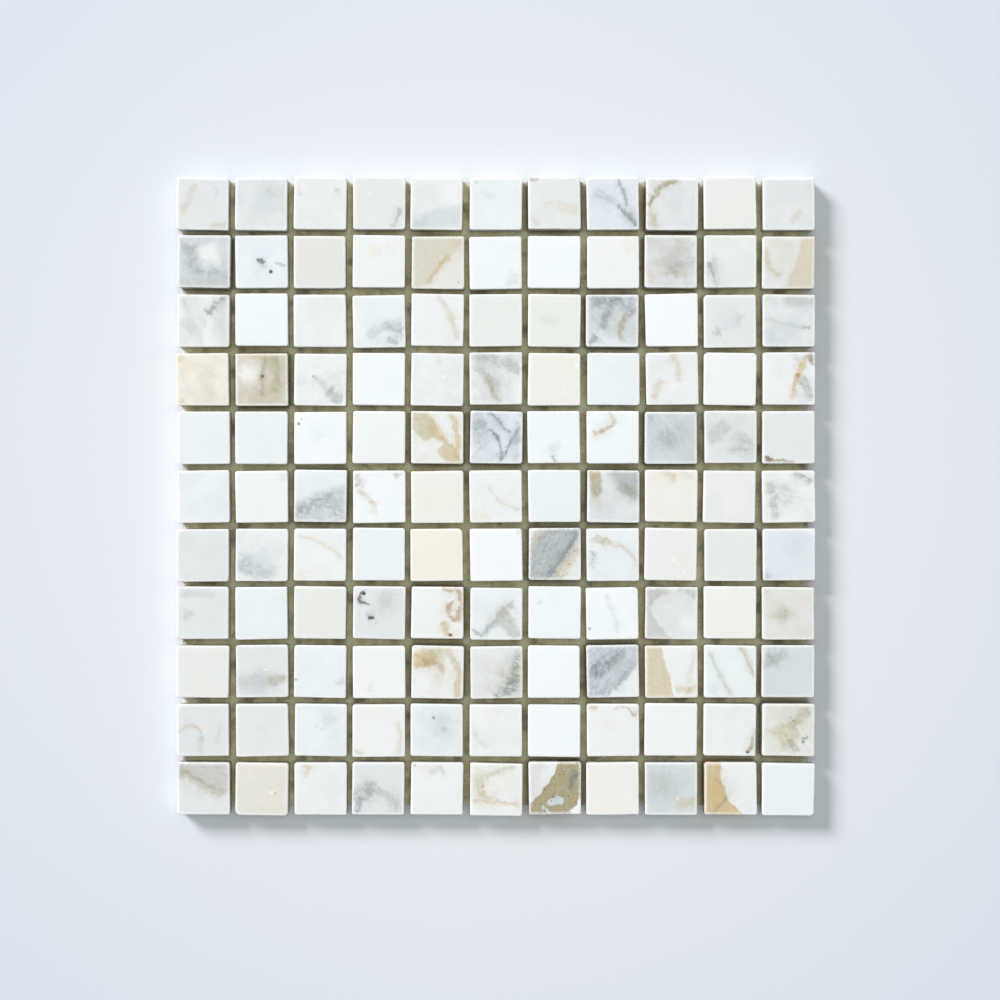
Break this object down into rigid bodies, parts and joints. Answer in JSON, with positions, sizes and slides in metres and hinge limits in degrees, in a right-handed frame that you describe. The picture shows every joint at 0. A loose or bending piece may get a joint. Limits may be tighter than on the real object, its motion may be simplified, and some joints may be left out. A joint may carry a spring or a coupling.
{
  "type": "mosaic tile sheet",
  "caption": "Square sheet of small square marble chips in straight rows with open joints, held on a net backing, ready to bed in adhesive and grout.",
  "frame": {"origin": "middle of the sheet's underside, as it lies face up on a level floor", "axes": "+Z out of the chips' faces, +X towards the last column, +Y towards the first row"},
  "size_m": [0.3059, 0.3061, 0.01],
  "materials": {
    "marble": "honed",
    "adhesive": "matte",
    "glass_fibre": "matte"
  },
  "bodies": {
    "root": {"marble_chips_row_01": "marble", "marble_chips_row_02": "marble", "marble_chips_row_03": "marble", "marble_chips_row_04": "marble", "marble_chips_row_05": "marble", "marble_chips_row_06": "marble", "marble_chips_row_07": "marble", "marble_chips_row_08": "marble", "marble_chips_row_09": "marble", "marble_chips_row_10": "marble", "marble_chips_row_11": "marble", "adhesive_film": "adhesive", "glass_net_1_1": "glass_fibre", "glass_net_1_2": "glass_fibre", "glass_net_1_3": "glass_fibre", "glass_net_1_4": "glass_fibre", "glass_net_2_1": "glass_fibre", "glass_net_2_2": "glass_fibre", "glass_net_2_3": "glass_fibre", "glass_net_2_4": "glass_fibre", "glass_net_3_1": "glass_fibre", "glass_net_3_2": "glass_fibre", "glass_net_3_3": "glass_fibre", "glass_net_3_4": "glass_fibre", "glass_net_4_1": "glass_fibre", "glass_net_4_2": "glass_fibre", "glass_net_4_3": "glass_fibre", "glass_net_4_4": "glass_fibre"}
  },
  "joints": []
}
